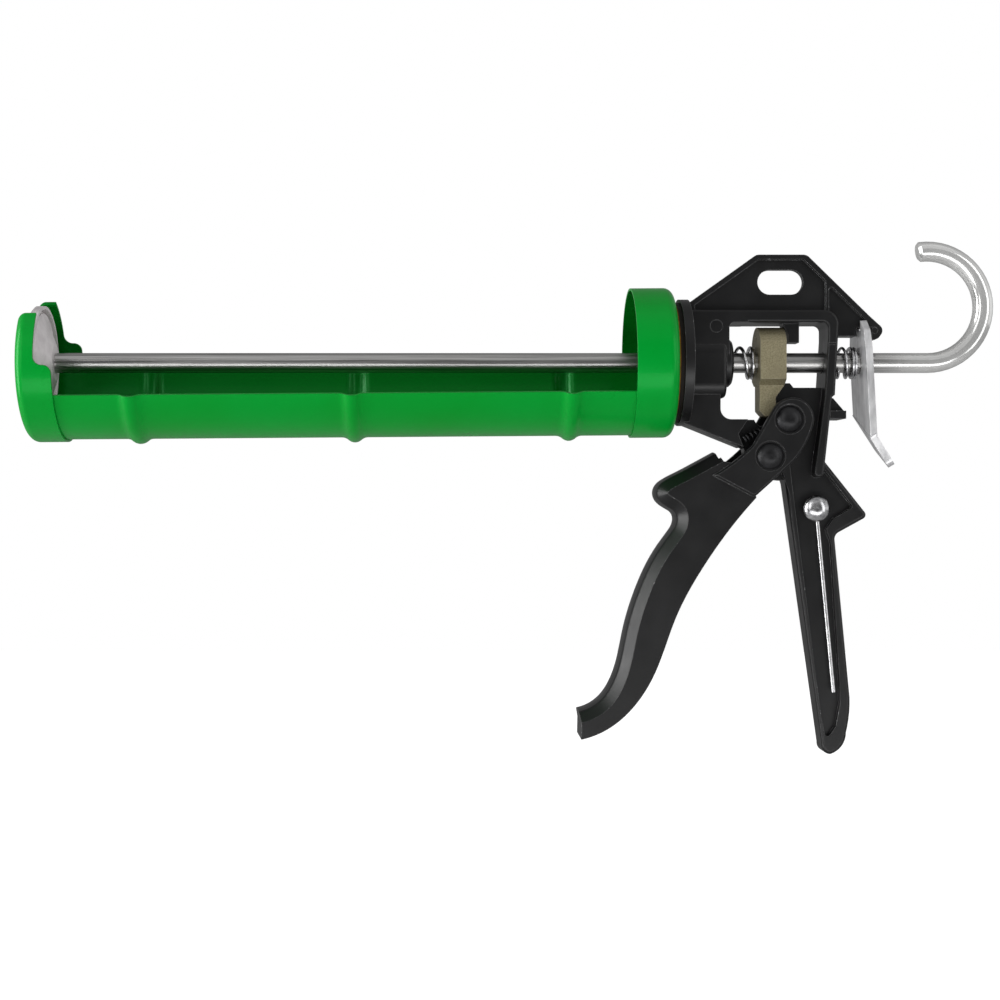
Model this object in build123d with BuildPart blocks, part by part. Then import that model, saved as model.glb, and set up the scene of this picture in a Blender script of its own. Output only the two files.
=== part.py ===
from build123d import *
from math import atan2, cos, degrees, hypot, radians, sin
import os

os.makedirs("parts", exist_ok=True)

# Half-barrel caulking gun for a 310 ml cartridge. Millimetres, +Z up.
# The origin is on the rod's axis, at the front face of the frame's flange.
# +X runs back along the rod towards its hook, and the handle hangs down in -Z.

# ---------------------------------------------------------------- driving dimensions
ROLL = 13.5                # the cradle stands turned this far about the rod, -Y side down
DROOP = 0.42               # degrees: play in the swivel lets the cradle's front end hang this low
SHEET = 0.9                # pressed steel of the trough
BAY_R = 24.8               # inside radius of the trough, for a 49.5 mm cartridge
TROUGH_R = BAY_R + SHEET
CAP_SHEET = 0.8
CAP_R = 26.6               # outside radius of the cap and of the cup
CAP_CORNER = 3.2
CAP_FACE_X = -230.6
CAP_DEPTH = 12.9           # lower half of the cap's rim
CAP_EAR_DEPTH = 6.7        # the rim above the step
CAP_STEP_Z = 5.0
STEP_ROUND = 3.0
NOTCH_R = 15.5             # half the width of the nozzle notch
CUP_BACK_X = -2.2
CUP_DEPTH = 14.8
TROUGH_FRONT_X = -227.2
TROUGH_BACK_X = -5.6
TROUGH_EDGE = 13.0         # the trough's long edges lie this many degrees under its level
RIB_X = (-191.8, -115.2, -38.9)
RIB_WIDTH = 9.6
RIB_HEIGHT = 1.8
RIB_FOOT = (0.72, 0.12)    # points of a rib's flank, as parts of its half width and of its height
RIB_FLANK = (0.5, 0.45)

ROD_R = 3.55
ROD_RUN = 0.1              # running fit of the rod in its bores
ROD_FRONT_X = -221.7
HOOK_X = 89.2              # centre of the hook's bend
HOOK_R = 19.9
HOOK_TURN = 190.0          # degrees of bend, from the bottom round to the open end

FLANGE_R = 22.5
FLANGE_T = 3.3
SPIGOT_R = 9.0
SPIGOT_LENGTH = 8.5
BOSS_HALF = 9.2            # half width of the block round the rod
BOSS_TOP_Z = 9.2
BOSS_FOOT_Z = -12.8
BOSS_X = 16.4
COLLAR_R = 8.6
COLLAR_X = 19.0
POCKET_R = 6.5             # spring pocket in the boss
POCKET_X = 10.4

BEAM_HALF = 8.3            # half widths in Y, from the widest ribs to the thinnest web
HANDLE_HALF = 5.2
LUG_HALF = 8.0
SLAB_HALF = 7.5
EDGE_ROUND = 0.9           # rounding of the casting's and the trigger's outer edges
HANGER_HALF = 5.0
WEB_HALF = 3.0
HANGER_FIELD = 3.6         # faces of the hanger's fields: |Y| on the near side
HANGER_CORE = -1.0         # the far side is cored out to here round the slot
PARTING_Z = 6.2            # shallow groove across the rear post
ARM_IN = 8.35              # the trigger's arms run outside the frame
ARM_OUT = 11.4
GRIP_HALF = 10.0

FULCRUM = (31.2, -33.5)    # X, Z of the trigger's pivot
DRIVE = (38.0, -20.6)      # X, Z of the pin that pushes the dog
PIN_R = 3.5
PIN_HEAD_R = 4.7
HEAD_SEAT = 0.5            # depth of the shallow seats round the pins' heads
TRIGGER_TURN = 28.0        # degrees of squeeze

DOG_FRONT_X = 28.2
DOG_T = 9.2
DOG_HALF = 8.5

PLATE_TILT = 3.1           # degrees, top forward
PLATE_X = 64.65            # front face of the release plate on the rod's axis
PLATE_T = 2.4

RIVET = (48.3, -51.9)      # X, Z of the puncture wire's rivet
HANGING_SLOT = (36.1, 28.4)


# ---------------------------------------------------------------- helpers
def radial_plane(angle):
    """Sketch plane through the X axis: local x is X, local y points outwards at this angle from +Y."""
    a = radians(angle)
    return Plane(origin=(0, 0, 0), x_dir=(1, 0, 0), z_dir=(0, -sin(a), cos(a)))


def across(x, roll=0.0):
    """Sketch plane across the rod at x: local x is Y and local y is Z, both turned by roll."""
    a = radians(roll)
    return Plane(origin=(x, 0, 0), x_dir=(0, cos(a), sin(a)), z_dir=(1, 0, 0))


def side(y):
    """Sketch plane at this Y: local x is X, local y is Z, and it faces -Y."""
    return Plane(origin=(0, y, 0), x_dir=(1, 0, 0), z_dir=(0, -1, 0))


def finish(piece, name):
    """Label a finished piece and write its file."""
    piece.part.label = name
    export_step(piece.part, f"parts/{name}.step")


def hang(piece):
    """Let a piece of the cradle hang down at its front end."""
    piece.part = piece.part.rotate(Axis.Y, -DROOP)


def drive_at(turn):
    """X, Z of the drive pin with the trigger squeezed through this many degrees."""
    arm = hypot(DRIVE[0] - FULCRUM[0], DRIVE[1] - FULCRUM[1])
    lean = atan2(DRIVE[0] - FULCRUM[0], DRIVE[1] - FULCRUM[1]) - radians(turn)
    return (FULCRUM[0] + arm * sin(lean), FULCRUM[1] + arm * cos(lean))


DRIVE_PATH = ThreePointArc(drive_at(-1), drive_at(TRIGGER_TURN / 2), drive_at(TRIGGER_TURN + 1))


# ---------------------------------------------------------------- cradle
def trough_edges(radius, front, back):
    """One long edge of the trough's section, from front to back, bulging outwards at each rib."""
    half = RIB_WIDTH / 2
    stops = [front]
    for x in RIB_X:
        stops += [x - half, x + half]
    stops.append(back)
    for a, b in zip(stops[0::2], stops[1::2]):
        Line((a, radius), (b, radius))
    for x in RIB_X:
        foot = (RIB_FOOT[0] * half, radius + RIB_FOOT[1] * RIB_HEIGHT)
        flank = (RIB_FLANK[0] * half, radius + RIB_FLANK[1] * RIB_HEIGHT)
        ThreePointArc((x - half, radius), (x - foot[0], foot[1]), (x - flank[0], flank[1]))
        ThreePointArc((x - flank[0], flank[1]), (x, radius + RIB_HEIGHT), (x + flank[0], flank[1]))
        ThreePointArc((x + flank[0], flank[1]), (x + foot[0], foot[1]), (x + half, radius))


with BuildPart() as cradle_trough:
    with BuildSketch(radial_plane(180 + TROUGH_EDGE + ROLL)):
        with BuildLine():
            trough_edges(BAY_R, TROUGH_FRONT_X, TROUGH_BACK_X)
            trough_edges(TROUGH_R, TROUGH_FRONT_X, TROUGH_BACK_X)
            Line((TROUGH_FRONT_X, BAY_R), (TROUGH_FRONT_X, TROUGH_R))
            Line((TROUGH_BACK_X, BAY_R), (TROUGH_BACK_X, TROUGH_R))
        make_face()
    revolve(axis=Axis.X, revolution_arc=180 - 2 * TROUGH_EDGE)
hang(cradle_trough)
finish(cradle_trough, "cradle_trough")


def pressed_cup(face_x, depth, towards):
    """Outline of a shallow pressed cup's section: a flat face at face_x and a rim that runs towards +X or -X."""
    wall = towards * CAP_SHEET
    outer = CAP_CORNER
    inner = CAP_CORNER - CAP_SHEET
    rim_in = CAP_R - CAP_SHEET
    end = face_x + towards * depth
    turn_x = face_x + towards * outer
    turn_r = CAP_R - outer
    diag = sin(radians(45))
    Line((face_x, 0), (face_x, turn_r))
    ThreePointArc(
        (face_x, turn_r),
        (turn_x - towards * outer * diag, turn_r + outer * diag),
        (turn_x, CAP_R),
    )
    Polyline((turn_x, CAP_R), (end, CAP_R), (end, rim_in), (turn_x, rim_in))
    ThreePointArc(
        (turn_x, rim_in),
        (turn_x - towards * inner * diag, turn_r + inner * diag),
        (face_x + wall, turn_r),
    )
    Polyline((face_x + wall, turn_r), (face_x + wall, 0), (face_x, 0))


with BuildPart() as front_cap:
    with BuildSketch(radial_plane(0)):
        with BuildLine():
            pressed_cup(CAP_FACE_X, CAP_DEPTH, 1)
        make_face()
    revolve(axis=Axis.X)
    # the rim is shallower above the step, which is rounded inside and out
    side_of_cradle = Plane(origin=(0, 0, 0), x_dir=(1, 0, 0), z_dir=(0, -cos(radians(ROLL)), -sin(radians(ROLL))))
    ear_x = CAP_FACE_X + CAP_EAR_DEPTH
    rim_x = CAP_FACE_X + CAP_DEPTH
    with BuildSketch(side_of_cradle) as above_step:
        with BuildLine():
            Polyline(
                (ear_x, 2 * CAP_R),
                (ear_x, CAP_STEP_Z),
                (rim_x, CAP_STEP_Z),
                (rim_x, CAP_STEP_Z - STEP_ROUND),
                (rim_x + CAP_DEPTH, CAP_STEP_Z - STEP_ROUND),
                (rim_x + CAP_DEPTH, 2 * CAP_R),
                close=True,
            )
        make_face()
        fillet(above_step.vertices().sort_by_distance((ear_x, CAP_STEP_Z))[0], STEP_ROUND)
        fillet(above_step.vertices().sort_by_distance((rim_x, CAP_STEP_Z))[0], STEP_ROUND - 0.1)
    extrude(amount=2 * CAP_R, both=True, mode=Mode.SUBTRACT)
    # nozzle notch
    with BuildSketch(across(CAP_FACE_X - 1, ROLL)):
        Circle(NOTCH_R)
        with Locations((0, CAP_R)):
            Rectangle(2 * NOTCH_R, 2 * CAP_R)
    extrude(amount=CAP_DEPTH + 2, mode=Mode.SUBTRACT)
hang(front_cap)
finish(front_cap, "front_cap")

with BuildPart() as rear_cup:
    with BuildSketch(radial_plane(0)):
        with BuildLine():
            pressed_cup(CUP_BACK_X, CUP_DEPTH, -1)
        make_face()
    revolve(axis=Axis.X)
    with BuildSketch(across(CUP_BACK_X + 1)):
        Circle(SPIGOT_R + ROD_RUN)
    extrude(amount=-4, mode=Mode.SUBTRACT)
hang(rear_cup)
finish(rear_cup, "rear_cup")

# ---------------------------------------------------------------- swivel: washer, spring washer and nut
WASHER_R = 21.4
WASHER_GAP = 0.05
WASHER_PLAY = 0.2          # room for the cup to lean by the droop
with BuildPart() as swivel_washer:
    with BuildSketch(across(CUP_BACK_X + WASHER_PLAY)):
        Circle(WASHER_R)
        Circle(SPIGOT_R + ROD_RUN, mode=Mode.SUBTRACT)
    extrude(amount=-CUP_BACK_X - WASHER_PLAY - WASHER_GAP)
finish(swivel_washer, "swivel_washer")

WAVE_FRONT_X = CUP_BACK_X - CAP_SHEET - 1.2
with BuildPart() as wave_washer:
    with BuildSketch(radial_plane(0)):
        # a shallow dished ring
        with BuildLine():
            Polyline(
                (WAVE_FRONT_X + 0.5, 9.3),
                (WAVE_FRONT_X + 0.95, 14.5),
                (WAVE_FRONT_X + 0.5, 14.5),
                (WAVE_FRONT_X + 0.05, 9.3),
                close=True,
            )
        make_face()
    revolve(axis=Axis.X)
finish(wave_washer, "wave_washer")

NUT_T = 4.0
with BuildPart() as swivel_nut:
    with BuildSketch(across(WAVE_FRONT_X)):
        RegularPolygon(radius=13.5, side_count=6, major_radius=False)
        Circle(SPIGOT_R, mode=Mode.SUBTRACT)
    extrude(amount=-NUT_T)
    with BuildSketch(radial_plane(0)):
        # both faces are turned down at their corners
        with BuildLine():
            Polyline(
                (WAVE_FRONT_X, 13.3),
                (WAVE_FRONT_X - 1.1, 15.6),
                (WAVE_FRONT_X - NUT_T + 1.1, 15.6),
                (WAVE_FRONT_X - NUT_T, 13.3),
                (WAVE_FRONT_X - NUT_T, 0),
                (WAVE_FRONT_X, 0),
                close=True,
            )
        make_face()
    revolve(axis=Axis.X, mode=Mode.INTERSECT)
finish(swivel_nut, "swivel_nut")

# ---------------------------------------------------------------- frame and handle casting
HANGER = (
    (2.0, 14.5),
    (2.0, 19.9),
    (27.4, 38.0),
    (45.2, 38.0),
    (67.4, 16.3),
    (72.8, 11.4),
    (70.2, 7.9),
    (68.4, 7.9),
    (68.4, 12.4),
    (63.2, 12.4),
    (63.2, 9.3),
    (53.4, 9.3),
    (53.4, 14.5),
)
HANGER_FIELD_FRONT = ((5.6, 18.3), (5.6, 20.3), (28.2, 36.3), (44.2, 36.3), (52.0, 28.7), (52.0, 18.3))
HANGER_FIELD_REAR = ((53.1, 27.6), (66.4, 14.6), (66.4, 6.0), (53.1, 6.0))
BAND = (
    (1.6, 18.2),
    (56.2, 18.2),
    (54.6, -11.8),
    (53.6, -12.6),
    (50.8, -38.4),
    (50.6, -40.9),
    (47.3, -40.9),
    (47.3, -38.4),
    (50.9, -11.6),
    (52.2, 8.0),
    (52.2, 13.8),
    (1.6, 13.8),
)
UPPER_SLAB = ((1.6, 0.0), (1.6, 15.0), (24.0, 15.0), (24.0, 13.8), (17.3, 13.8), (17.3, 0.0))
LOWER_SLAB = (
    (1.6, -21.8),
    (1.6, 0.0),
    (14.3, 0.0),
    (14.3, -20.4),
    (24.0, -20.4),
    (20.6, -25.6),
    (22.4, -30.2),
)
LOWER_WEB = (
    (2.0, -20.4),
    (34.9, -20.4),
    (34.9, -12.7),
    (37.4, -8.6),
    (38.1, -7.4),
    (39.6, -7.4),
    (40.9, -9.0),
    (52.0, -9.0),
    (51.0, -40.0),
    (36.5, -42.0),
    (28.0, -41.2),
    (24.2, -36.5),
    (23.2, -30.6),
    (2.0, -22.0),
)
HANDLE_HOOK = (67.1, -54.6)
HANDLE_WAIST = (55.1, -61.2)
HANDLE_TOE = (
    (50.6, -135.6),
    (51.6, -138.2),
    (53.8, -139.0),
    (57.4, -136.6),
    (59.3, -131.4),
    (60.4, -125.0),
    (60.6, -118.8),
)
HANDLE_POCKET = (
    (38.1, -26.9),
    (39.9, -42.5),
    (43.9, -75.1),
    (47.9, -107.3),
    (50.3, -125.4),
    (52.0, -134.0),
    (55.4, -129.2),
    (56.9, -121.3),
    (56.8, -114.3),
    (53.7, -64.1),
    (52.0, -59.2),
    (54.8, -55.4),
    (61.6, -51.4),
    (51.2, -37.9),
    (50.0, -26.9),
)

with BuildPart() as beam_and_post:
    # top beam and rear post: one wide band that turns the corner
    with BuildSketch(side(0)) as band:
        with BuildLine():
            Polyline(*BAND, close=True)
        make_face()
        fillet(band.vertices().filter_by(lambda v: v.X > 55 and v.Y > 15), 5.0)
        fillet(band.vertices().filter_by(lambda v: v.X > 52 and 13 < v.Y < 14), 2.2)
        fillet(band.vertices().group_by(Axis.Y)[0], 1.4)
    extrude(amount=BEAM_HALF, both=True)
    fillet(beam_and_post.edges().filter_by(lambda e: abs(abs(e.center().Y) - BEAM_HALF) < 0.01), EDGE_ROUND)

with BuildPart() as boss:
    # block round the rod, and the collar on its end
    with BuildSketch(across(FLANGE_T - 1)) as boss_section:
        with Locations((0, (BOSS_TOP_Z + BOSS_FOOT_Z) / 2)):
            Rectangle(2 * BOSS_HALF, BOSS_TOP_Z - BOSS_FOOT_Z)
        fillet(boss_section.vertices().group_by(Axis.Y)[-1], 6.5)
        fillet(boss_section.vertices().group_by(Axis.Y)[0], 5.0)
    extrude(amount=BOSS_X - FLANGE_T + 1)
    fillet(boss.faces().sort_by(Axis.X)[-1].edges(), 1.2)
    with BuildSketch(across(BOSS_X - 2)):
        Circle(COLLAR_R)
    extrude(amount=COLLAR_X - BOSS_X + 2)
    chamfer(boss.faces().sort_by(Axis.X)[-1].edges(), 0.9)

with BuildPart() as frame_casting:
    # handle: a wide outline, rounded for the hand, with a pocket in each side
    with BuildSketch(side(0)) as handle_outline:
        with BuildLine():
            ThreePointArc(*HANDLE_TOE[:3])
            ThreePointArc(*HANDLE_TOE[2:5])
            ThreePointArc(*HANDLE_TOE[4:])
            Polyline(
                HANDLE_TOE[-1],
                HANDLE_WAIST,
                HANDLE_HOOK,
                (51.6, -35.1),
                (51.0, -31.0),
                (34.0, -31.0),
                (37.5, -41.9),
                HANDLE_TOE[0],
            )
        make_face()
        fillet(handle_outline.vertices().sort_by_distance(HANDLE_WAIST)[0], 2.8)
        fillet(handle_outline.vertices().sort_by_distance(HANDLE_HOOK)[0], 1.6)
    extrude(amount=HANDLE_HALF, both=True)
    front_and_back = frame_casting.edges().filter_by(
        lambda e: abs(abs(e.center().Y) - HANDLE_HALF) < 0.01 and e.center().Z < -40
    )
    fillet(front_and_back, 1.3)
    for face in (-1, 1):
        with BuildSketch(side(face * (HANDLE_HALF + 1))) as pocket:
            with BuildLine():
                Polyline(*HANDLE_POCKET, close=True)
            make_face()
            fillet(pocket.vertices(), 1.0)
        extrude(amount=face * (HANDLE_HALF + 1 - WEB_HALF), mode=Mode.SUBTRACT)
    # flat web from the flange to the rear post
    with BuildSketch(side(0)):
        with BuildLine():
            Polyline(*LOWER_WEB, close=True)
        make_face()
    extrude(amount=WEB_HALF, both=True)
    # slabs above and below the boss
    with BuildSketch(side(0)) as upper_slab:
        with BuildLine():
            Polyline(*UPPER_SLAB, close=True)
        make_face()
        fillet(upper_slab.vertices().sort_by_distance((17.3, 13.8))[0], 1.9)
    extrude(amount=BEAM_HALF, both=True)
    with BuildSketch(side(0)) as lower_slab:
        with BuildLine():
            Polyline(*LOWER_SLAB, close=True)
        make_face()
        fillet(lower_slab.vertices().sort_by_distance((14.3, -20.4))[0], 3.8)
    extrude(amount=SLAB_HALF, both=True)
    # hanger plate with its slot and its shallow fields
    with BuildSketch(side(0)) as hanger_outline:
        with BuildLine():
            Polyline(*HANGER, close=True)
        make_face()
        fillet(hanger_outline.vertices().filter_by(lambda v: v.Y > 30), 3.0)
        fillet(hanger_outline.vertices().filter_by(lambda v: v.X > 69), 2.3)
    extrude(amount=HANGER_HALF, both=True)
    for face in (-1, 1):
        for field in (HANGER_FIELD_FRONT, HANGER_FIELD_REAR):
            with BuildSketch(side(face * (HANGER_HALF + 1))) as shallow:
                with BuildLine():
                    Polyline(*field, close=True)
                make_face()
                fillet(shallow.vertices(), 0.8)
            extrude(amount=face * (HANGER_HALF + 1 - HANGER_FIELD), mode=Mode.SUBTRACT)
    with BuildSketch(side(HANGER_HALF + 1)) as core:
        with BuildLine():
            Polyline(*HANGER_FIELD_FRONT, close=True)
        make_face()
        fillet(core.vertices(), 0.8)
    extrude(amount=HANGER_HALF + 1 - HANGER_CORE, mode=Mode.SUBTRACT)
    with BuildSketch(side(0)):
        with Locations(HANGING_SLOT):
            SlotOverall(16.2, 8.8)
    extrude(amount=HANGER_HALF + 1, both=True, mode=Mode.SUBTRACT)
    add(beam_and_post.part)
    # flange and threaded spigot
    with BuildSketch(across(0)):
        Circle(FLANGE_R)
    extrude(amount=FLANGE_T)
    with BuildSketch(across(-SPIGOT_LENGTH)):
        Circle(SPIGOT_R - 0.02)
    extrude(amount=SPIGOT_LENGTH + 1)
    add(boss.part)
    # pivot lug for the fulcrum pin and seat for the puncture wire's rivet
    with BuildSketch(side(0)):
        with Locations(FULCRUM):
            Circle(6.4)
    extrude(amount=LUG_HALF, both=True)
    with BuildSketch(side(-WEB_HALF)):
        with Locations(RIVET):
            Circle(3.6)
    extrude(amount=HANDLE_HALF - WEB_HALF)
    # lug that stops the dog's top, hanging from the beam
    with BuildSketch(side(0)):
        with BuildLine():
            Polyline((36.6, 14.2), (39.2, 9.6), (39.2, 7.0), (42.9, 7.0), (42.9, 14.2), close=True)
        make_face()
    extrude(amount=3.0, both=True)
    # lug behind the post that stops the release plate: a gusset on a wide shelf
    with BuildSketch(side(0)):
        with BuildLine():
            Polyline((51.0, -12.8), (54.6, -12.8), (58.4, -17.2), (58.4, -20.0), (51.0, -20.0), close=True)
        make_face()
    extrude(amount=4.6, both=True)
    with BuildSketch(side(0)):
        with BuildLine():
            Polyline((51.0, -17.4), (58.6, -17.4), (58.6, -20.2), (51.0, -20.2), close=True)
        make_face()
    extrude(amount=SLAB_HALF, both=True)
    # groove across the rear post
    for face in (-1, 1):
        with BuildSketch(side(face * (BEAM_HALF - 0.4))):
            with Locations((54.0, PARTING_Z)):
                Rectangle(8.0, 0.7)
        extrude(amount=-face * 2, mode=Mode.SUBTRACT)
    # shallow marks of the die's ejector pins
    for face in (-1, 1):
        with BuildSketch(side(face * (BEAM_HALF - 0.2))):
            with Locations((12.7, 12.4)):
                Circle(2.2)
        extrude(amount=-face, mode=Mode.SUBTRACT)
        with BuildSketch(side(face * (HANGER_HALF - 0.3))):
            with Locations((69.3, 11.2)):
                Circle(1.1)
        extrude(amount=-face, mode=Mode.SUBTRACT)
    # spring pocket and the rod's bores
    with BuildSketch(across(POCKET_X)):
        Circle(POCKET_R)
    extrude(amount=COLLAR_X, mode=Mode.SUBTRACT)
    with BuildSketch(across(-SPIGOT_LENGTH - 1)):
        Circle(ROD_R + ROD_RUN)
    extrude(amount=POCKET_X + SPIGOT_LENGTH + 3, mode=Mode.SUBTRACT)
    with BuildSketch(across(48)):
        Circle(ROD_R + 3 * ROD_RUN)
    extrude(amount=12, mode=Mode.SUBTRACT)
    # fulcrum bore, rivet bore, and the drive pin's way through the web
    with BuildSketch(side(0)):
        with Locations(FULCRUM):
            Circle(PIN_R + 0.05)
        with Locations(RIVET):
            Circle(1.6)
    extrude(amount=LUG_HALF + 2, both=True, mode=Mode.SUBTRACT)
    with BuildSketch(side(0)):
        SlotArc(DRIVE_PATH, height=2 * PIN_R + 1.4)
    extrude(amount=LUG_HALF, both=True, mode=Mode.SUBTRACT)
finish(frame_casting, "frame_casting")

# ---------------------------------------------------------------- drive dog
with BuildPart() as drive_dog:
    # wide block with an arched top
    with BuildSketch(across(DOG_FRONT_X)):
        with BuildLine():
            Line((-DOG_HALF, -6.2), (-DOG_HALF, 7.4))
            ThreePointArc((-DOG_HALF, 7.4), (0, 12.6), (DOG_HALF, 7.4))
            Line((DOG_HALF, 7.4), (DOG_HALF, -6.2))
            Line((DOG_HALF, -6.2), (4.7, -8.2))
            Line((4.7, -8.2), (-4.7, -8.2))
            Line((-4.7, -8.2), (-DOG_HALF, -6.2))
        make_face()
    extrude(amount=DOG_T)
    # narrow tongue that the drive pin pushes
    with BuildSketch(side(0)) as tongue:
        with BuildLine():
            Polyline(
                (DOG_FRONT_X + 0.4, -7.5),
                (DOG_FRONT_X + 0.4, -17.2),
                (DOG_FRONT_X + 2.2, -19.2),
                (DOG_FRONT_X + 4.8, -19.2),
                (34.3, -17.6),
                (34.3, -12.5),
                (DOG_FRONT_X + DOG_T - 0.3, -8.5),
                (DOG_FRONT_X + DOG_T - 0.3, -7.5),
                close=True,
            )
        make_face()
        fillet(tongue.vertices().filter_by(lambda v: v.Y < -17), 1.3)
    extrude(amount=4.7, both=True)
    with BuildSketch(across(DOG_FRONT_X - 1)):
        Circle(ROD_R + ROD_RUN)
        with Locations((0, 8.4)):
            Circle(0.7)
    extrude(amount=DOG_T + 2, mode=Mode.SUBTRACT)
finish(drive_dog, "drive_dog")


# ---------------------------------------------------------------- coil springs
def coil(start, along, length, turns, mean_r, wire_r):
    """A round-wire coil spring as one swept solid, its centre line starting mean_r beside start."""
    path = Helix(pitch=length / turns, height=length, radius=mean_r, center=start, direction=along)
    with BuildPart() as spring:
        with BuildSketch(Plane(path @ 0, z_dir=path % 0)):
            Circle(wire_r)
        sweep(path=path, is_frenet=True)
    return spring


finish(coil((POCKET_X + 1.0, 0, 0), (1, 0, 0), 15.9, 6, 5.3, 0.7), "return_spring")
finish(coil((56.6, 0, 0), (1, 0, 0), 7.0, 5, 5.3, 0.5), "release_spring")

# ---------------------------------------------------------------- piston rod and pusher
HOOK_END = 270 + HOOK_TURN
with BuildPart() as piston_rod:
    hook_angle = radians(HOOK_END)
    mid_angle = radians((270 + HOOK_END) / 2)
    end_point = (HOOK_X + HOOK_R * cos(hook_angle), 0, HOOK_R + HOOK_R * sin(hook_angle))
    mid_point = (HOOK_X + HOOK_R * cos(mid_angle), 0, HOOK_R + HOOK_R * sin(mid_angle))
    with BuildLine() as rod_line:
        Line((ROD_FRONT_X, 0, 0), (HOOK_X, 0, 0))
        ThreePointArc((HOOK_X, 0, 0), mid_point, end_point)
    with BuildSketch(across(ROD_FRONT_X)):
        Circle(ROD_R)
    sweep(path=rod_line.wires()[0])
    # tapped hole for the pusher's screw
    with BuildSketch(across(ROD_FRONT_X - 1)):
        Circle(2.05)
    extrude(amount=15, mode=Mode.SUBTRACT)
    hook_tip = piston_rod.faces().sort_by_distance(Vector(end_point))[0]
    chamfer(hook_tip.edges(), 0.8)
finish(piston_rod, "piston_rod")

DISC_X = CAP_FACE_X + CAP_SHEET + 1.2
with BuildPart() as pusher_disc:
    with BuildSketch(radial_plane(0)):
        # flat disc with its edge turned back
        with BuildLine():
            Polyline(
                (DISC_X, 2.3),
                (DISC_X, 19.4),
                (DISC_X + 0.8, 20.2),
                (DISC_X + 3.4, 20.2),
                (DISC_X + 3.4, 19.0),
                (DISC_X + 1.5, 18.6),
                (DISC_X + 1.3, 18.2),
                (DISC_X + 1.3, 2.3),
                close=True,
            )
        make_face()
    revolve(axis=Axis.X)
finish(pusher_disc, "pusher_disc")

BACK_X = DISC_X + 1.4
with BuildPart() as pusher_back_plate:
    with BuildSketch(radial_plane(0)):
        # dished plate: a flat rim on the disc and a hub against the rod's end
        with BuildLine():
            Polyline(
                (BACK_X, 17.6),
                (BACK_X + 1.3, 17.6),
                (BACK_X + 1.3, 16.4),
                (BACK_X + 5.4, 6.2),
                (BACK_X + 5.4, 2.3),
                (BACK_X + 4.1, 2.3),
                (BACK_X + 4.1, 5.6),
                (BACK_X, 15.8),
                close=True,
            )
        make_face()
    revolve(axis=Axis.X)
finish(pusher_back_plate, "pusher_back_plate")

with BuildPart() as pusher_screw:
    with BuildSketch(radial_plane(0)):
        with BuildLine():
            Polyline(
                (DISC_X - 0.1, 0),
                (DISC_X - 0.1, 4.6),
                (DISC_X - 0.6, 4.3),
                (DISC_X - 1.0, 3.4),
                (DISC_X - 1.0, 0),
                close=True,
            )
        make_face()
    revolve(axis=Axis.X)
    with BuildSketch(across(DISC_X - 0.5)):
        Circle(2.0)
    extrude(amount=20)
    with BuildSketch(across(DISC_X - 2)):
        RegularPolygon(radius=1.25, side_count=6, major_radius=False)
    extrude(amount=1.3, mode=Mode.SUBTRACT)
finish(pusher_screw, "pusher_screw")

# ---------------------------------------------------------------- release plate
plate_turn = radians(PLATE_TILT)
PLATE_PLANE = Plane(origin=(PLATE_X, 0, 0), x_dir=(0, 1, 0), z_dir=(cos(plate_turn), 0, sin(plate_turn)))
PLATE_HALF = 12.0
BEND_NEAR = (-PLATE_HALF, -27.6)      # the thumb tab is bent on a slant, lower on the -Y side
BEND_FAR = (PLATE_HALF, -18.6)
TAB_LENGTH = 13.0
TAB_TURN = 29.0
bend_near = PLATE_PLANE.from_local_coords((*BEND_NEAR, 0))
bend_far = PLATE_PLANE.from_local_coords((*BEND_FAR, 0))
tab_turn = radians(PLATE_TILT + TAB_TURN)
down_tab = Vector(sin(tab_turn), 0, -cos(tab_turn))
along_bend = bend_far - bend_near
TAB_PLANE = Plane(origin=bend_near, x_dir=along_bend, z_dir=down_tab.cross(along_bend))
tab_tip = TAB_PLANE.to_local_coords(bend_near + down_tab * TAB_LENGTH)
with BuildPart() as release_plate:
    with BuildSketch(PLATE_PLANE) as plate_outline:
        with BuildLine():
            Polyline(
                (-5.5, 14.6),
                (-10.2, 10.8),
                (-PLATE_HALF, 4.5),
                BEND_NEAR,
                BEND_FAR,
                (PLATE_HALF, 4.5),
                (10.2, 10.8),
                (5.5, 14.6),
                (5.5, 11.2),
                (-5.5, 11.2),
                close=True,
            )
        make_face()
        fillet(plate_outline.vertices().filter_by(lambda v: abs(v.X) > 7 and 4 < v.Y < 12), 3.0)
        Circle(ROD_R + 3 * ROD_RUN, mode=Mode.SUBTRACT)
    extrude(amount=PLATE_T)
    with BuildSketch(TAB_PLANE) as tab:
        with BuildLine():
            Polyline(
                (0, 0.6),
                (0, 0),
                (tab_tip.X, tab_tip.Y),
                (along_bend.length - 8, tab_tip.Y),
                (along_bend.length, 0),
                (along_bend.length, 0.6),
                close=True,
            )
        make_face()
        fillet(tab.vertices().group_by(Axis.Y)[0], 2.5)
    extrude(amount=PLATE_T)
finish(release_plate, "release_plate")

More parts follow.
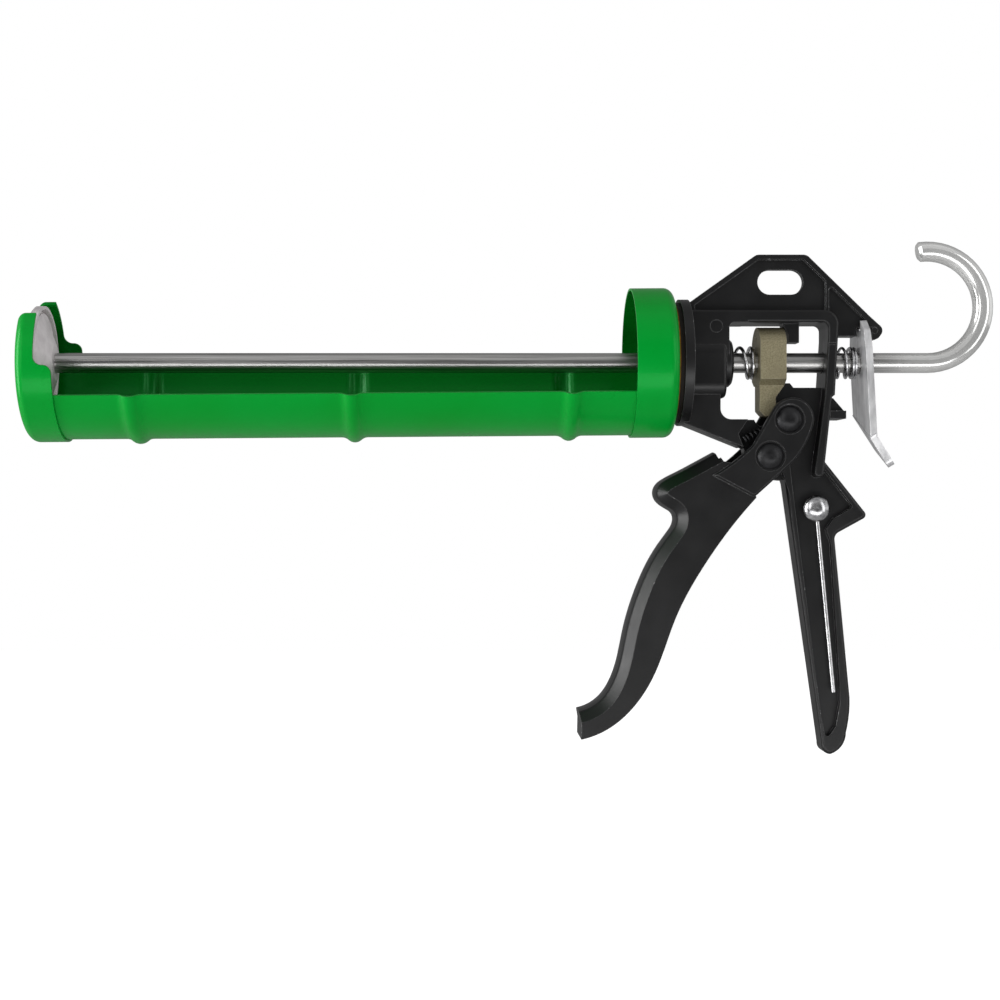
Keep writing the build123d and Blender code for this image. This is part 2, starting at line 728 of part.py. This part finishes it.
# ---------------------------------------------------------------- trigger
NOSE_DEPTH = 4.2
NOSE_BEVEL = 3.5           # depth of the bevels on both sides of the nose
NOSE_FLAT = 6.4            # half width between the bevels
NOSE_ROUND = 1.8
NOSE_LAP = 0.3
GRIP_RIDGE = (
    (15.0, -35.3),
    (8.0, -39.1),
    (1.0, -42.8),
    (-3.2, -45.0),
    (-4.6, -46.4),
    (-3.4, -47.7),
    (-0.2, -49.7),
    (2.0, -52.6),
    (2.6, -56.0),
    (1.7, -59.6),
    (-0.9, -63.6),
    (-4.9, -69.3),
    (-11.2, -82.4),
    (-15.2, -95.4),
    (-18.1, -108.6),
    (-22.7, -118.9),
    (-34.9, -127.2),
)
GRIP_BACK = (
    (-35.0, -133.1),
    (-20.8, -125.9),
    (-9.4, -110.4),
    (-2.0, -90.8),
    (8.0, -72.2),
    (26.5, -48.1),
)
with BuildPart() as arms:
    # two arms that straddle the frame, still in one piece
    with BuildSketch(side(0)) as arm_outline:
        with BuildLine():
            ThreePointArc((32.6, -16.5), (39.0, -12.9), (46.6, -20.9))
            ThreePointArc((46.6, -20.9), (43.9, -28.8), (37.4, -37.3))
            Line((37.4, -37.3), (25.7, -47.9))
            Line((25.7, -47.9), (11.1, -40.2))
            ThreePointArc((11.1, -40.2), (19.6, -34.5), (25.1, -29.5))
            Line((25.1, -29.5), (32.6, -16.5))
        make_face()
        fillet(arm_outline.vertices().filter_by(lambda v: v.X > 20), 2.0)
    extrude(amount=ARM_OUT, both=True)
    chamfer(arms.edges().filter_by(lambda e: abs(abs(e.center().Y) - ARM_OUT) < 0.01), 0.7)

with BuildPart() as grip_nose:
    # the grip's front is a bevelled, rounded nose swept along the ridge
    with BuildLine() as ridge:
        Spline(*((x, 0, z) for x, z in GRIP_RIDGE))
    with BuildSketch(Plane(origin=ridge.line @ 0, x_dir=(0, 1, 0), z_dir=ridge.line % 0)) as nose_section:
        with BuildLine():
            Polyline((-NOSE_FLAT, -NOSE_BEVEL), (-GRIP_HALF, 0), (-GRIP_HALF, NOSE_LAP))
            Line((-GRIP_HALF, NOSE_LAP), (GRIP_HALF, NOSE_LAP))
            Polyline((GRIP_HALF, NOSE_LAP), (GRIP_HALF, 0), (NOSE_FLAT, -NOSE_BEVEL))
            ThreePointArc((-NOSE_FLAT, -NOSE_BEVEL), (0, -NOSE_DEPTH), (NOSE_FLAT, -NOSE_BEVEL))
        make_face()
        fillet(nose_section.vertices().group_by(Axis.Y)[0], NOSE_ROUND)
    sweep()

with BuildPart() as trigger:
    # finger grip behind its rounded nose
    with BuildSketch(side(0)) as grip:
        with BuildLine():
            Spline(*GRIP_RIDGE)
            Polyline(GRIP_RIDGE[-1], GRIP_BACK[0])
            Spline(*GRIP_BACK)
            Polyline(GRIP_BACK[-1], (24.0, -37.0), GRIP_RIDGE[0])
        make_face()
    extrude(amount=GRIP_HALF, both=True)
    add(grip_nose.part)
    add(arms.part)
    # room for the frame between the arms
    with BuildSketch(side(0)):
        with BuildLine():
            Polyline(
                (60.0, -60.0),
                (28.2, -47.3),
                (20.5, -44.5),
                (14.4, -36.5),
                (10.8, -28.0),
                (10.8, 0.0),
                (60.0, 0.0),
                close=True,
            )
        make_face()
    extrude(amount=ARM_IN, both=True, mode=Mode.SUBTRACT)
    # pin bores and the shallow seats of their heads
    with BuildSketch(side(0)):
        with Locations(FULCRUM, DRIVE):
            Circle(PIN_R)
    extrude(amount=ARM_OUT + 1, both=True, mode=Mode.SUBTRACT)
    with BuildSketch(side(-ARM_OUT + HEAD_SEAT)):
        with Locations(FULCRUM, DRIVE):
            Circle(PIN_HEAD_R + 0.6)
    extrude(amount=HEAD_SEAT + 1, mode=Mode.SUBTRACT)
finish(trigger, "trigger")


def domed_pin(at):
    """A pin through the trigger, domed on the -Y side, with a groove near its far end."""
    under = -ARM_OUT + HEAD_SEAT - 0.05
    with BuildPart() as pin:
        with BuildSketch(Plane(origin=(at[0], 0, at[1]), x_dir=(1, 0, 0), z_dir=(0, 0, 1))):
            with BuildLine():
                Line((0, under - 2.2), (0, ARM_OUT + 2.6))
                ThreePointArc((0, under - 2.2), (PIN_HEAD_R * 0.72, under - 1.4), (PIN_HEAD_R, under))
                Polyline(
                    (PIN_HEAD_R, under),
                    (PIN_R - 0.02, under),
                    (PIN_R - 0.02, ARM_OUT + 0.4),
                    (PIN_R - 0.8, ARM_OUT + 0.4),
                    (PIN_R - 0.8, ARM_OUT + 1.4),
                    (PIN_R - 0.02, ARM_OUT + 1.4),
                    (PIN_R - 0.02, ARM_OUT + 2.2),
                    (PIN_R - 0.5, ARM_OUT + 2.6),
                    (0, ARM_OUT + 2.6),
                )
            make_face()
        revolve(axis=Axis((at[0], 0, at[1]), (0, 1, 0)))
    return pin


finish(domed_pin(FULCRUM), "fulcrum_pin")
finish(domed_pin(DRIVE), "drive_pin")

with BuildPart() as pin_retaining_rings:
    for at in (FULCRUM, DRIVE):
        with BuildSketch(side(ARM_OUT + 1.3)):
            with Locations(at):
                Circle(5.2)
                Circle(PIN_R - 0.75, mode=Mode.SUBTRACT)
                with Locations((0, -4.0)):
                    Rectangle(3.6, 6.0, mode=Mode.SUBTRACT)
        extrude(amount=0.8)
finish(pin_retaining_rings, "pin_retaining_rings")

# ---------------------------------------------------------------- trigger spring
SPRING_SEAT = (22.1, -28.1)    # X, Z of its end on the front slab; the other end bears on the drive pin
SPRING_Y = -6.35
SPRING_R = 1.35
SPRING_WIRE_R = 0.35
reach = hypot(DRIVE[0] - SPRING_SEAT[0], DRIVE[1] - SPRING_SEAT[1])
way = ((DRIVE[0] - SPRING_SEAT[0]) / reach, 0, (DRIVE[1] - SPRING_SEAT[1]) / reach)
spring_start = (SPRING_SEAT[0] + 0.5 * way[0], SPRING_Y, SPRING_SEAT[1] + 0.5 * way[2])
finish(coil(spring_start, way, reach - PIN_R - 1.2, 8, SPRING_R, SPRING_WIRE_R), "trigger_spring")

# ---------------------------------------------------------------- puncture wire and its rivet
WIRE_R = 0.7
WIRE_Y = -HANDLE_HALF - WIRE_R - 0.2
WIRE_END = (54.4, -116.8)
EYE_R = 2.6
with BuildPart() as puncture_wire:
    run = (WIRE_END[0] - RIVET[0], WIRE_END[1] - RIVET[1])
    run_length = hypot(*run)
    toward = (run[0] / run_length, run[1] / run_length)
    start_angle = degrees(atan2(toward[1], toward[0]))
    eye_start = (RIVET[0] + EYE_R * toward[0], WIRE_Y, RIVET[1] + EYE_R * toward[1])
    with BuildLine() as straight:
        Line(eye_start, (WIRE_END[0], WIRE_Y, WIRE_END[1]))
    with BuildSketch(Plane(origin=eye_start, z_dir=(toward[0], 0, toward[1]))):
        Circle(WIRE_R)
    sweep(path=straight.wires()[0])
    with BuildSketch(side(WIRE_Y + 0.5)):
        with Locations(RIVET):
            Circle(EYE_R + WIRE_R)
            Circle(EYE_R - WIRE_R, mode=Mode.SUBTRACT)
    extrude(amount=1.0)
finish(puncture_wire, "puncture_wire")

with BuildPart() as puncture_rivet:
    head_y = WIRE_Y - WIRE_R - 0.15
    with BuildSketch(Plane(origin=(RIVET[0], 0, RIVET[1]), x_dir=(1, 0, 0), z_dir=(0, 0, 1))):
        with BuildLine():
            Line((0, head_y - 2.2), (0, -WEB_HALF + 1.0))
            ThreePointArc((0, head_y - 2.2), (3.3, head_y - 1.4), (4.65, head_y))
            Polyline(
                (4.65, head_y),
                (1.55, head_y),
                (1.55, -WEB_HALF + 1.0),
                (0, -WEB_HALF + 1.0),
            )
        make_face()
    revolve(axis=Axis((RIVET[0], 0, RIVET[1]), (0, 1, 0)))
finish(puncture_rivet, "puncture_rivet")
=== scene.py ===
"""Looks of a half-barrel caulking gun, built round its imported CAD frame. Metres, +Z up."""
from math import cos, pi, radians, sin

import bmesh
import bpy
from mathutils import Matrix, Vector


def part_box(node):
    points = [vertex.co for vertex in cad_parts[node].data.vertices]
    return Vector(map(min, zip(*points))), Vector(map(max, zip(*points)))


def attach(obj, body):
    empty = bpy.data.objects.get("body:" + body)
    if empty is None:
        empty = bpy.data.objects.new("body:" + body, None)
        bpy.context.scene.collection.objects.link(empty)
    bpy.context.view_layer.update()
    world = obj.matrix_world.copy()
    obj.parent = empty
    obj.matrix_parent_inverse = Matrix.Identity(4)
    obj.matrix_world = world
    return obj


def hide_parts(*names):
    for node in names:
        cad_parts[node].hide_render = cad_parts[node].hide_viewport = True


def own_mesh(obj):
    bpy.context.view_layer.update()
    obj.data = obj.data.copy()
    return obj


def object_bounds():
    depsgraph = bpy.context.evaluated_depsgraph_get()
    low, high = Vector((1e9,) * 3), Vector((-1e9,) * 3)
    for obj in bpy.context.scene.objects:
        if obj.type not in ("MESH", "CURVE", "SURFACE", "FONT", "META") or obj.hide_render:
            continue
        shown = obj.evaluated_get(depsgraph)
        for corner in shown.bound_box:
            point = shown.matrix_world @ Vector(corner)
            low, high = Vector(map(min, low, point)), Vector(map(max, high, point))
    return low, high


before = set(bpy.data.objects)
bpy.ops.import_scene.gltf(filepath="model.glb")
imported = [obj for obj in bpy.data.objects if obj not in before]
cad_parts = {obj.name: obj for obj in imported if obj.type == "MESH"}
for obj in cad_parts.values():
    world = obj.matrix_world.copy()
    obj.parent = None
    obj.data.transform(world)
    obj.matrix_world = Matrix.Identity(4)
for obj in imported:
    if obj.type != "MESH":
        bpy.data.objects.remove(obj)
cad_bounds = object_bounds()

MM = 0.001

# ---------------------------------------------------------------- camera
# The lens sits level, opposite the front of the frame casting, and looks along +Y.
CAMERA_AT = Vector((-82.9, -607.0, -48.9)) * MM
LENS = 61.2
SHIFT_X = 0.055
SENSOR = 36.0
CLIP = (0.01, 50.0)

camera_data = bpy.data.cameras.new("camera")
camera_data.lens = LENS
camera_data.sensor_width = SENSOR
camera_data.shift_x = SHIFT_X
camera_data.clip_start, camera_data.clip_end = CLIP
camera = bpy.data.objects.new("camera", camera_data)
camera.location = CAMERA_AT
camera.rotation_euler = (radians(90), 0, 0)
bpy.context.scene.collection.objects.link(camera)
bpy.context.scene.camera = camera
bpy.context.scene.view_settings.view_transform = "Standard"


# ---------------------------------------------------------------- materials
FLAT, SHARP = 0.995, 0.75    # cosine between a face and its rounded edge, on the flat and on a sharp edge


class Surface:
    """A principled material and a few short ways to wire its nodes."""

    def __init__(self, name, colour, roughness, metallic=0.0):
        self.material = bpy.data.materials.new(name)
        self.material.use_nodes = True
        self.nodes = self.material.node_tree.nodes
        self.links = self.material.node_tree.links
        self.shader = self.nodes["Principled BSDF"]
        self.shader.inputs["Base Color"].default_value = (*colour, 1)
        self.shader.inputs["Roughness"].default_value = roughness
        self.shader.inputs["Metallic"].default_value = metallic
        self.place = self.nodes.new("ShaderNodeTexCoord").outputs["Object"]
        self.normal = None

    def set(self, **values):
        for name, value in values.items():
            self.shader.inputs[name.replace("_", " ")].default_value = value

    def add(self, kind, values=None, **settings):
        """A new node; settings are its own, values are its inputs', by name or number, fixed or linked."""
        node = self.nodes.new("ShaderNode" + kind)
        for name, value in settings.items():
            setattr(node, name, value)
        for key, value in (values or {}).items():
            if isinstance(value, bpy.types.NodeSocket):
                self.links.new(value, node.inputs[key])
            else:
                node.inputs[key].default_value = value
        return node

    def stretched(self, scale):
        return self.add("Mapping", {"Vector": self.place, "Scale": scale}).outputs["Vector"]

    def noise(self, scale, detail=3.0, rough=0.5, where=None):
        """A noise texture in the object's own coordinates, in metres unless stretched."""
        values = {"Vector": where or self.place, "Scale": scale, "Detail": detail, "Roughness": rough}
        return self.add("TexNoise", values).outputs["Fac"]

    def ramp(self, factor, low, high, start=0.0, end=1.0):
        """factor between low and high becomes start to end."""
        values = {"Value": factor, "From Min": low, "From Max": high, "To Min": start, "To Max": end}
        return self.add("MapRange", values, clamp=True).outputs["Result"]

    def math(self, operation, a, b=0.0):
        return self.add("Math", {0: a, 1: b}, operation=operation).outputs[0]

    def mix(self, factor, a, b):
        node = self.add("Mix", {"Factor": factor}, data_type="RGBA")
        for socket, value in ((node.inputs[6], a), (node.inputs[7], b)):
            if isinstance(value, bpy.types.NodeSocket):
                self.links.new(value, socket)
            else:
                socket.default_value = (*value, 1)
        return node.outputs[2]

    def dot(self, a, b):
        return self.add("VectorMath", {0: a, 1: b}, operation="DOT_PRODUCT").outputs["Value"]

    def edges(self, radius, samples=4):
        """1 on sharp edges and 0 on flat faces; it also rounds the edges' shading."""
        round_normal = self.add("Bevel", {"Radius": radius * MM}, samples=samples).outputs["Normal"]
        flat_normal = self.add("NewGeometry").outputs["Normal"]
        dot = self.dot(round_normal, flat_normal)
        self.normal = round_normal
        return self.ramp(dot, FLAT, SHARP)

    def bump(self, height, distance, strength=1.0):
        values = {"Height": height, "Distance": distance * MM, "Strength": strength}
        if self.normal is not None:
            values["Normal"] = self.normal
        self.normal = self.add("Bump", values).outputs["Normal"]

    def finish(self, colour=None, roughness=None):
        if colour is not None:
            self.links.new(colour, self.shader.inputs["Base Color"])
        if roughness is not None:
            self.links.new(roughness, self.shader.inputs["Roughness"])
        if self.normal is not None:
            self.links.new(self.normal, self.shader.inputs["Normal"])
        return self.material


def green_enamel():
    """Sprayed enamel, with painted shade that darkens the cradle's inner faces, which turn towards the rod,
    and a painted highlight that lightens its edges.
    """
    s = Surface("green_enamel", (0.0, 0.27, 0.02), 0.3)
    s.set(Specular_IOR_Level=0.4, Specular_Tint=(0.12, 1.0, 0.3, 1))
    s.set(Coat_Weight=0.06, Coat_Roughness=0.05)
    edge = s.edges(0.35)
    outward = s.add("VectorMath", {0: s.place, 1: (0, 1, 1)}, operation="MULTIPLY").outputs[0]
    outward = s.add("VectorMath", {0: outward}, operation="NORMALIZE").outputs[0]
    facing = s.add("TexCoord").outputs["Normal"]
    painted_shade_facing = s.dot(outward, facing)
    tone = s.mix(s.ramp(s.noise(18, 3), 0.35, 0.7), (0.0, 0.258, 0.018), (0.0, 0.3, 0.03))
    # painted shade: faces that turn in, towards the rod, get a darker green
    tone = s.mix(s.ramp(painted_shade_facing, -0.4, -0.1), (0.0, 0.15, 0.009), tone)
    # painted highlight: the sharp edges are lighter green
    lighter_edges = s.mix(s.math("MULTIPLY", edge, 0.3), tone, (0.01, 0.42, 0.05))
    s.bump(s.noise(260, 2), 0.02, 0.5)
    s.bump(s.noise(45, 2), 0.1, 0.3)
    return s.finish(lighter_edges, s.ramp(s.noise(60, 4), 0.3, 0.75, 0.27, 0.37))


def black_coat():
    """Satin black powder on the castings, with a painted highlight along their edges, in patches, and specks
    of wear there.
    """
    s = Surface("black_coat", (0.006, 0.006, 0.0064), 0.37)
    s.set(Specular_IOR_Level=0.36)
    edge = s.edges(0.45)
    tone = s.mix(s.ramp(s.noise(35, 4), 0.35, 0.7), (0.0045, 0.0045, 0.0048), (0.0075, 0.0075, 0.008))
    patches = s.ramp(s.noise(120, 4), 0.36, 0.6, 0.5, 1)
    # painted highlight: the sharp edges are lighter grey, in patches
    painted_edge_highlight = s.mix(s.math("MULTIPLY", edge, patches), tone, (0.13, 0.13, 0.132))
    specks = s.math("MULTIPLY", edge, s.ramp(s.noise(950, 2), 0.63, 0.69))
    lighter_edges = s.mix(specks, painted_edge_highlight, (0.45, 0.45, 0.46))
    s.bump(s.noise(1400, 2), 0.03, 0.4)
    s.bump(s.noise(210, 2), 0.06, 0.22)
    return s.finish(lighter_edges, s.ramp(s.noise(90, 4), 0.3, 0.7, 0.31, 0.42))


def black_steel():
    """Blackened steel of the pins."""
    s = Surface("black_steel", (0.014, 0.014, 0.015), 0.38, 0.6)
    edge = s.edges(0.3)
    tone = s.mix(s.ramp(s.noise(300, 3), 0.35, 0.7), (0.011, 0.011, 0.012), (0.024, 0.024, 0.026))
    lighter_edges = s.mix(s.math("MULTIPLY", edge, 0.5), tone, (0.12, 0.12, 0.12))
    s.bump(s.noise(900, 2), 0.02, 0.4)
    return s.finish(lighter_edges, s.ramp(s.noise(150, 3), 0.3, 0.7, 0.32, 0.46))


BARE_TO, DARK_FROM = -1.7, -1.4    # along the rod


def fibre():
    """Fibre washer: bare and orange at its front edge, dark behind it."""
    s = Surface("fibre", (0.2, 0.075, 0.005), 0.65)
    s.set(Specular_IOR_Level=0.15)
    tone = s.mix(s.ramp(s.noise(500, 4), 0.3, 0.7), (0.14, 0.05, 0.004), (0.32, 0.12, 0.01))
    along = s.add("SeparateXYZ", {0: s.place}).outputs["X"]
    tone = s.mix(s.ramp(along, BARE_TO * MM, DARK_FROM * MM), tone, (0.014, 0.01, 0.008))
    s.bump(s.noise(1800, 2), 0.03, 0.5)
    return s.finish(tone, s.ramp(s.noise(400, 2), 0.3, 0.7, 0.5, 0.7))


def sintered():
    """Speckled grey-gold sintered steel."""
    s = Surface("sintered", (0.36, 0.31, 0.19), 0.5, 0.55)
    edge = s.edges(0.3)
    speck = s.noise(2200, 5, 0.7)
    tone = s.mix(s.ramp(speck, 0.36, 0.66), (0.2, 0.175, 0.1), (0.38, 0.34, 0.22))
    stain = s.mix(s.ramp(s.noise(120, 3), 0.45, 0.75), tone, (0.24, 0.21, 0.13))
    lighter_edges = s.mix(s.math("MULTIPLY", edge, 0.6), stain, (0.6, 0.56, 0.44))
    s.bump(speck, 0.03, 0.4)
    return s.finish(lighter_edges, s.ramp(speck, 0.35, 0.65, 0.6, 0.42))


STREAKS = (14, 1300, 1300)    # noise scale along and across the rod
BEND = (0.066, 0.086)         # where the drawn streaks fade out, before the hook


def drawn_rod():
    """The rod: drawn streaks along its length, and plain bright metal round the hook."""
    s = Surface("drawn_rod", (0.66, 0.655, 0.645), 0.3, 1.0)
    streaks = s.noise(1.0, 4, 0.6, s.stretched(STREAKS))
    bend = s.ramp(s.add("SeparateXYZ", {0: s.place}).outputs["X"], *BEND)
    drawn = s.mix(s.ramp(streaks, 0.35, 0.62), (0.3, 0.297, 0.292), (0.66, 0.655, 0.645))
    polished = s.mix(s.ramp(s.noise(70, 3), 0.35, 0.7), (0.66, 0.66, 0.65), (0.84, 0.84, 0.83))
    s.links.new(s.ramp(bend, 0, 1, 1, 0.6), s.shader.inputs["Metallic"])
    s.bump(s.math("MULTIPLY", streaks, s.math("SUBTRACT", 1.0, bend)), 0.03, 0.3)
    wear = s.ramp(s.noise(1.0, 3, 0.6, s.stretched(STREAKS)), 0.3, 0.7, 0.24, 0.36)
    return s.finish(s.mix(bend, drawn, polished), s.math("MULTIPLY", wear, s.ramp(bend, 0, 1, 1, 0.45)))


def bright_metal(name, low, high, streak_scale, roughness, bump=0.02, edge_radius=0.0, metallic=1.0):
    """Bright steel or plating with fine streaks that run along one axis."""
    s = Surface(name, high, roughness[0], metallic)
    if edge_radius:
        s.edges(edge_radius)
    streaks = s.noise(1.0, 4, 0.6, s.stretched(streak_scale))
    tone = s.mix(s.ramp(streaks, 0.35, 0.62), low, high)
    s.bump(streaks, bump, 0.3)
    wear = s.noise(1.0, 3, 0.6, s.stretched(streak_scale))
    return s.finish(tone, s.ramp(wear, 0.3, 0.7, *roughness))


ROD = drawn_rod()
WIRE = bright_metal(
    "spring_wire", (0.5, 0.5, 0.51), (0.66, 0.66, 0.67), (300, 300, 300), (0.18, 0.3), bump=0.004
)
PLATED = bright_metal(
    "zinc_plated", (0.6, 0.6, 0.61), (0.86, 0.86, 0.87), (260, 260, 90), (0.28, 0.42),
    edge_radius=0.3, metallic=0.6,
)
DISC = bright_metal(
    "disc_zinc", (0.68, 0.64, 0.65), (0.8, 0.76, 0.77), (400, 200, 200), (0.42, 0.55),
    edge_radius=0.3, metallic=0.5,
)
DOME = bright_metal("bright_dome", (0.28, 0.28, 0.29), (0.7, 0.7, 0.71), (330, 330, 330), (0.16, 0.3))
GREEN = green_enamel()
BLACK = black_coat()
PINS = black_steel()

FINISHES = {
    GREEN: ("cradle_trough", "front_cap", "rear_cup"),
    BLACK: ("frame_casting", "trigger"),
    PINS: ("fulcrum_pin", "drive_pin", "trigger_spring"),
    fibre(): ("swivel_washer",),
    sintered(): ("drive_dog",),
    WIRE: ("pin_retaining_rings", "puncture_wire"),
    ROD: ("piston_rod",),
    PLATED: ("release_plate", "pusher_screw", "swivel_nut", "wave_washer"),
    DISC: ("pusher_disc", "pusher_back_plate"),
    DOME: ("puncture_rivet",),
}
for material, names in FINISHES.items():
    for name in names:
        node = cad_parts[name]
        node.data.materials.clear()
        node.data.materials.append(material)


# ---------------------------------------------------------------- springs
STEPS_PER_TURN = 48
WIRE_SIDES = 14
END_TAPER = 0.35    # the wire's ends start this thin
TAPER_STEPS = 3


def wound_spring(node, steps, wire_radius, lean=0.0, material=WIRE):
    """A wire spring in a CAD spring's place.

    steps are (turn, share of its length), a turn starting at the top. lean tips its axis up from X, about Y.
    """
    lo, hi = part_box(node)
    wire = wire_radius * MM
    mean = (hi.y - lo.y) / 2 - wire
    along = Vector((cos(lean), 0, sin(lean)))
    upward = Vector((-sin(lean), 0, cos(lean)))
    length = (hi.x - lo.x - 2 * (mean + wire) * sin(lean)) / cos(lean)
    start = (lo + hi) / 2 - along * length / 2
    first, last = steps[0][0], steps[-1][0]
    count = int((last - first) * STEPS_PER_TURN)
    shape = bmesh.new()
    rings = []
    for i in range(count + 1):
        turn = first + (last - first) * i / count
        k = max(n for n in range(len(steps) - 1) if steps[n][0] <= turn + 1e-9)
        (t0, s0), (t1, s1) = steps[k], steps[k + 1]
        share = s0 + (s1 - s0) * (turn - t0) / (t1 - t0)
        angle = 2 * pi * turn
        outward = Vector((0, -sin(angle), 0)) + cos(angle) * upward
        at = start + (wire + (length - 2 * wire) * share) * along + mean * outward
        ring = []
        taper = min(1.0, END_TAPER + min(i, count - i) / TAPER_STEPS)
        for j in range(WIRE_SIDES):
            around = 2 * pi * j / WIRE_SIDES
            offset = cos(around) * outward + sin(around) * along
            ring.append(shape.verts.new(at + wire * taper * offset))
        rings.append(ring)
    for one, two in zip(rings, rings[1:]):
        for j in range(WIRE_SIDES):
            k = (j + 1) % WIRE_SIDES
            shape.faces.new((one[j], one[k], two[k], two[j]))
    shape.faces.new(rings[0])
    shape.faces.new(rings[-1])
    bmesh.ops.recalc_face_normals(shape, faces=shape.faces)
    for face in shape.faces:
        face.smooth = len(face.verts) == 4
    mesh = bpy.data.meshes.new("wound_" + node)
    shape.to_mesh(mesh)
    shape.free()
    mesh.materials.append(material)
    piece = bpy.data.objects.new("wound_" + node, mesh)
    bpy.context.scene.collection.objects.link(piece)
    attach(piece, "frame")
    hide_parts(node)
    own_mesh(piece)


RETURN_SPRING_STEPS = ((0.5, 0), (1.5, 0.08), (3.5, 0.87), (5.0, 1))
RELEASE_SPRING_STEPS = ((0.33, 0), (2.0, 0.71), (4.0, 1))
TRIGGER_SPRING_LEAN = radians(25.3)
TRIGGER_SPRING_STEPS = ((0, 0), (1, 0.085), (7, 0.915), (8, 1))
wound_spring("return_spring", RETURN_SPRING_STEPS, wire_radius=0.6)
wound_spring("release_spring", RELEASE_SPRING_STEPS, wire_radius=0.5)
wound_spring(
    "trigger_spring",
    TRIGGER_SPRING_STEPS,
    wire_radius=0.35,
    lean=TRIGGER_SPRING_LEAN,
    material=PINS,
)

# ---------------------------------------------------------------- floor, room and lights
lowest = cad_bounds[0].z
FLOOR_DROP = 0.5
FLOOR_HALF = 6.0
FLOOR_GLOW = (0.1, 1.0)    # for reflections and bounced light, and as the camera sees it
floor_mesh = bpy.data.meshes.new("floor")
shape = bmesh.new()
bmesh.ops.create_grid(shape, x_segments=2, y_segments=2, size=FLOOR_HALF)
shape.to_mesh(floor_mesh)
shape.free()
floor = bpy.data.objects.new("floor", floor_mesh)
floor.location = (0, 0, lowest - FLOOR_DROP)
bpy.context.scene.collection.objects.link(floor)
pale = Surface("pale_floor", (0.4, 0.4, 0.4), 0.8)
pale.shader.inputs["Emission Color"].default_value = (1, 1, 1, 1)
seen = pale.add("LightPath").outputs["Is Camera Ray"]
pale.links.new(pale.ramp(seen, 0, 1, *FLOOR_GLOW), pale.shader.inputs["Emission Strength"])
floor_mesh.materials.append(pale.finish())

world = bpy.data.worlds.new("room")
bpy.context.scene.world = world
world.use_nodes = True
tree = world.node_tree
background = tree.nodes["Background"]
coords = tree.nodes.new("ShaderNodeTexCoord")
split = tree.nodes.new("ShaderNodeSeparateXYZ")
tree.links.new(coords.outputs["Generated"], split.inputs[0])


def fade(socket, stops):
    """Brightness along one axis of the room: stops are (where from -1 to 1, how bright)."""
    fit = tree.nodes.new("ShaderNodeMapRange")
    fit.inputs["From Min"].default_value = -1
    tree.links.new(split.outputs[socket], fit.inputs["Value"])
    ramp = tree.nodes.new("ShaderNodeValToRGB")
    tree.links.new(fit.outputs["Result"], ramp.inputs["Fac"])
    elements = ramp.color_ramp.elements
    while len(elements) < len(stops):
        elements.new(0.5)
    for element, (where, bright) in zip(elements, stops):
        element.position = (where + 1) / 2
        element.color = (bright, bright, bright, 1)
    return ramp.outputs["Color"]


def multiply(a, b):
    node = tree.nodes.new("ShaderNodeMix")
    node.data_type = "RGBA"
    node.blend_type = "MULTIPLY"
    node.inputs["Factor"].default_value = 1
    tree.links.new(a, node.inputs[6])
    tree.links.new(b, node.inputs[7])
    return node.outputs[2]


# the room is dark towards -Y, and dimmer towards -X and overhead
ALONG_Y = ((-1, 0.16), (-0.6, 0.3), (-0.1, 1), (0.35, 0.8), (0.7, 0.4), (1, 0.35))
ALONG_X = ((-1, 0.5), (-0.3, 0.85), (0.4, 1), (1, 1))
ALONG_Z = ((-1, 1), (0.2, 1), (0.7, 0.5), (1, 0.4))
room = multiply(multiply(fade("Y", ALONG_Y), fade("X", ALONG_X)), fade("Z", ALONG_Z))
path = tree.nodes.new("ShaderNodeLightPath")
choose = tree.nodes.new("ShaderNodeMix")
choose.data_type = "RGBA"
tree.links.new(path.outputs["Is Camera Ray"], choose.inputs["Factor"])
tree.links.new(room, choose.inputs[6])
choose.inputs[7].default_value = (1, 1, 1, 1)
tree.links.new(choose.outputs[2], background.inputs["Color"])
background.inputs["Strength"].default_value = 1.0


def softbox(name, at, size, power, target=(0, 0, -0.03)):
    light = bpy.data.lights.new(name, "AREA")
    light.shape = "RECTANGLE"
    light.size, light.size_y = size
    light.energy = power
    lamp = bpy.data.objects.new(name, light)
    lamp.location = at
    lamp.rotation_euler = (Vector(target) - Vector(at)).to_track_quat("-Z", "Y").to_euler()
    bpy.context.scene.collection.objects.link(lamp)


SOFTBOXES = (    # name, place, size and power in watts
    ("overhead", (0.05, -0.55, 0.8), (1.6, 0.9), 1.6),
    ("low_front", (-0.05, -0.8, -0.5), (1.4, 0.4), 5),
    ("left_front", (-0.8, -0.9, 0.35), (0.4, 1.0), 2.6),
    ("left", (-1.3, -0.25, 0.1), (0.45, 1.3), 15),
    ("right_front", (0.9, -0.8, 0.15), (0.4, 1.2), 3.4),
)
for name, at, size, power in SOFTBOXES:
    softbox(name, at, size, power)
